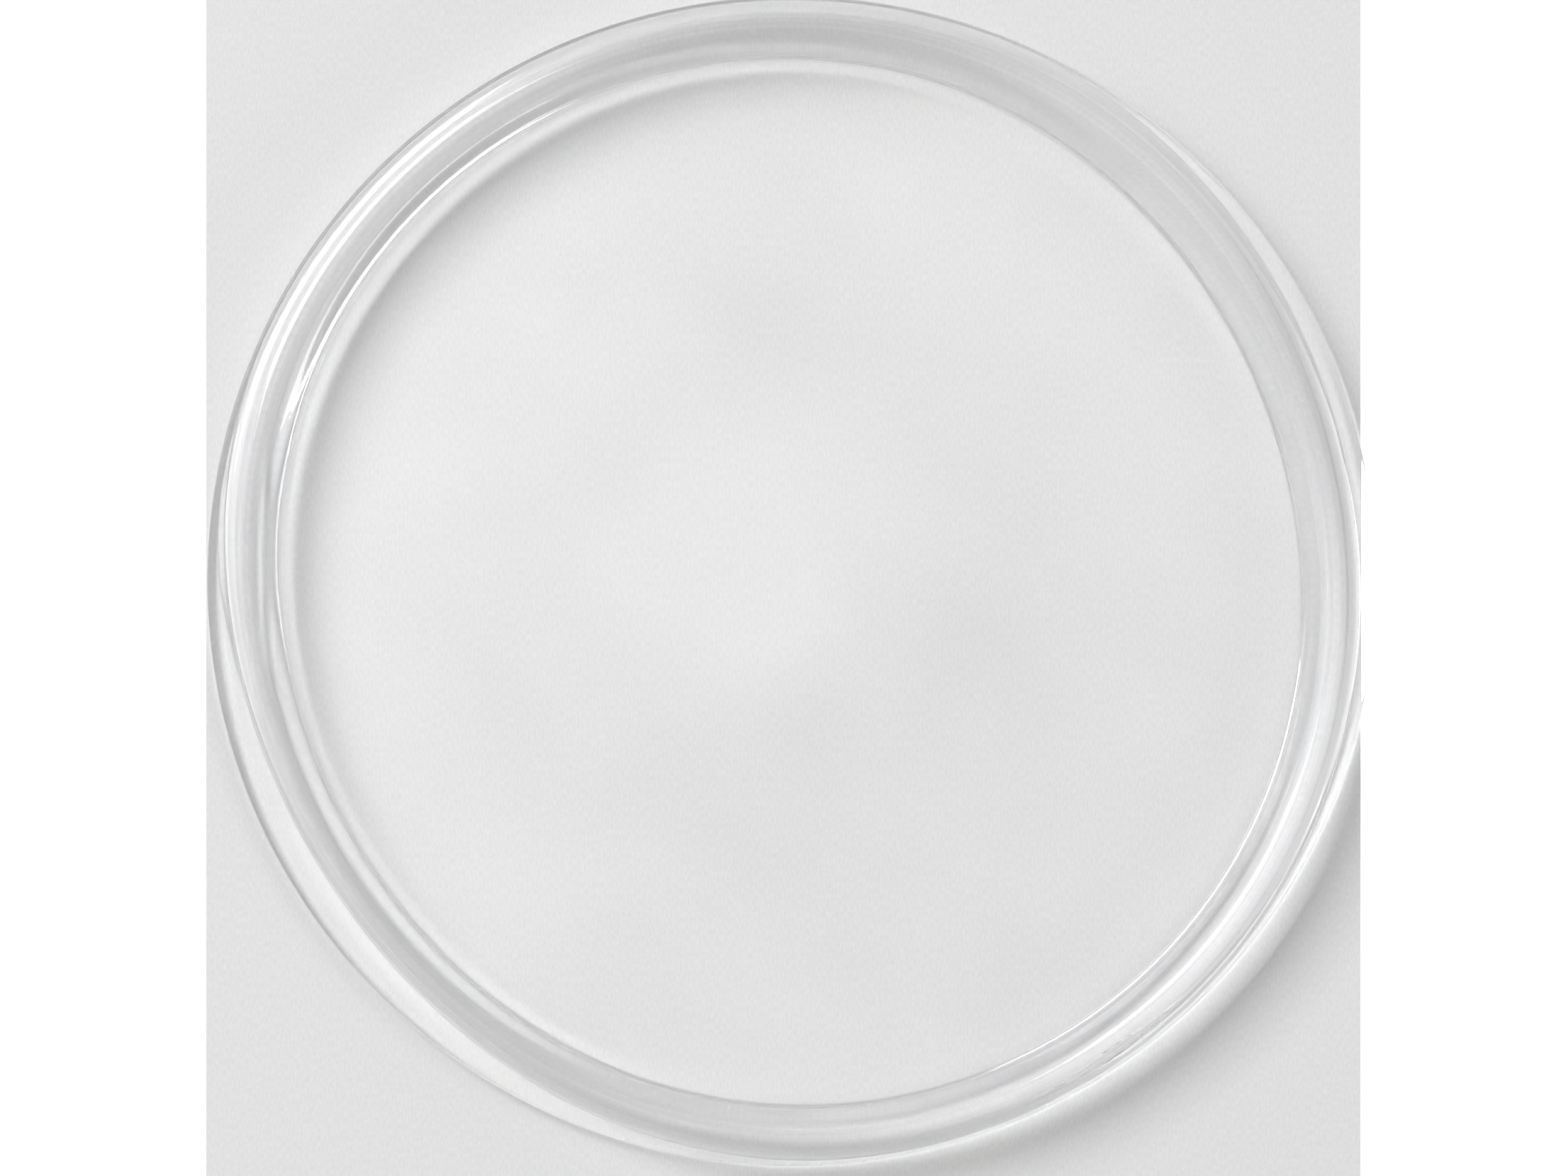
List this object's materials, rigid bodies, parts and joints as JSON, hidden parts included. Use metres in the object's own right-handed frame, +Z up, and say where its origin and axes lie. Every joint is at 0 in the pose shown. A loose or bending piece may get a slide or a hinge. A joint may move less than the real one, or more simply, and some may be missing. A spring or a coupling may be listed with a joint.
{
  "type": "vanity tray",
  "caption": "Shallow round clear-glass tray: a flat disc with a low solid glass ring bonded on top as its wall, for perfume bottles and small things on a dresser.",
  "frame": {"origin": "on the surface the tray stands on, under the middle of the base plate", "axes": "+Z up out of the tray; the slightly oval wall ring is longest at 60 degrees clockwise from +X seen from above"},
  "size_m": [0.18, 0.18, 0.015],
  "materials": {
    "plate_glass": "clear float glass, polished",
    "ring_glass": "clear hand-worked glass, fire polished",
    "clear_adhesive": "clear cured adhesive"
  },
  "bodies": {
    "root": {"base_plate": "plate_glass", "bond_film": "clear_adhesive", "wall_ring": "ring_glass"}
  },
  "joints": []
}
